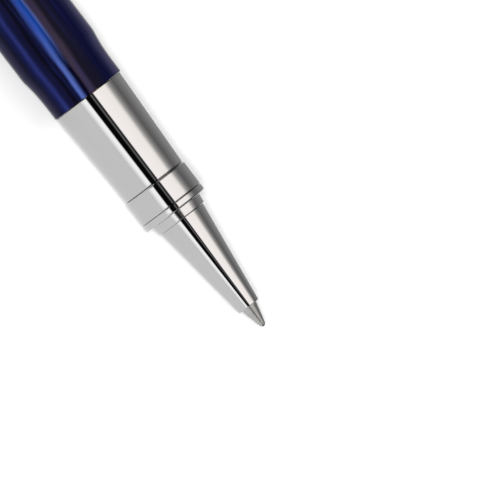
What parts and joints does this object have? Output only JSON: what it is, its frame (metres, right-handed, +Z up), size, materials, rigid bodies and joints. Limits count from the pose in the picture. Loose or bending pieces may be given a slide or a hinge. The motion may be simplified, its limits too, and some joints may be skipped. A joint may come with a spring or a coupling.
{
  "type": "rollerball pen",
  "caption": "Slim capped rollerball pen with a bright metal grip section, a glossy marbled barrel and a clip cap posted on its tail.",
  "frame": {"origin": "the writing tip: the front of the ball, on the pen's axis", "axes": "+X along the pen from the writing tip to the tail and the posted cap, +Z up with the pen lying on a table, resting on its barrel, the cap's lip and the clip"},
  "size_m": [0.1622, 0.0162, 0.014],
  "materials": {
    "chrome_trim": "polished",
    "tip_steel": "satin",
    "ball_carbide": "polished",
    "brass_core": "satin",
    "spring_steel": "satin",
    "blue_resin": "polished",
    "refill_plastic": "matte",
    "ink_fibre": "matte",
    "inner_plastic": "matte",
    "seal_rubber": "matte"
  },
  "bodies": {
    "barrel": {"barrel_shell": "blue_resin", "barrel_liner": "brass_core", "barrel_bush": "brass_core", "refill_spring": "spring_steel", "tail_insert": "brass_core", "tail_ring": "chrome_trim", "tail_cap": "chrome_trim"},
    "seal": {"section_o_ring": "seal_rubber"},
    "section": {"nose_cone": "chrome_trim", "nose_collar": "chrome_trim", "flange_ring": "chrome_trim", "grip_band": "chrome_trim", "grip_sleeve": "chrome_trim", "grip_core": "brass_core"},
    "refill": {"refill_tip": "tip_steel", "refill_holder": "refill_plastic", "feed_rod": "ink_fibre", "refill_tube": "refill_plastic", "ink_core": "ink_fibre", "refill_end_plug": "refill_plastic"},
    "ball": {"ball": "ball_carbide"},
    "cap": {"cap_lip_band": "chrome_trim", "cap_shell": "blue_resin", "cap_liner": "brass_core", "inner_cap": "inner_plastic", "cap_top_ring": "chrome_trim", "cap_plug": "chrome_trim", "cap_screw": "spring_steel", "cap_crown": "chrome_trim", "crown_disc": "blue_resin", "clip_pin": "spring_steel", "clip_spring": "spring_steel"},
    "clip": {"clip": "chrome_trim"}
  },
  "joints": [
    {"name": "section_travel", "type": "slide", "parent": "barrel", "child": "seal", "axis": [-1, 0, 0], "range_m": [0, 0.005]},
    {"name": "section_turn", "type": "hinge", "parent": "seal", "child": "section", "pos_m": [0.0426, 0, 0], "axis": [-1, 0, 0], "range_deg": [0, 1800]},
    {"name": "refill_push", "type": "slide", "parent": "section", "child": "refill", "axis": [1, 0, 0], "range_m": [0, 0.0015], "stiffness_N_per_m": 300, "springref_m": -0.008, "deforming": ["refill_spring"]},
    {"name": "ball_roll", "type": "hinge", "parent": "refill", "child": "ball", "pos_m": [0.00035, 0, 0], "axis": [0, 1, 0], "continuous": true},
    {"name": "cap_pull", "type": "slide", "parent": "barrel", "child": "cap", "axis": [1, 0, 0], "range_m": [0, 0.03]},
    {"name": "clip_lift", "type": "hinge", "parent": "cap", "child": "clip", "pos_m": [0.154, -0.00401, -0.00281], "axis": [0, -0.5736, 0.8192], "range_deg": [0, 7], "stiffness_Nm_per_rad": 0.3, "springref_deg": -6.88, "deforming": ["clip_spring"]}
  ],
  "couplings": [
    {"joint": "section_turn", "follows": "section_travel", "rad_per_m": 6283.2}
  ]
}
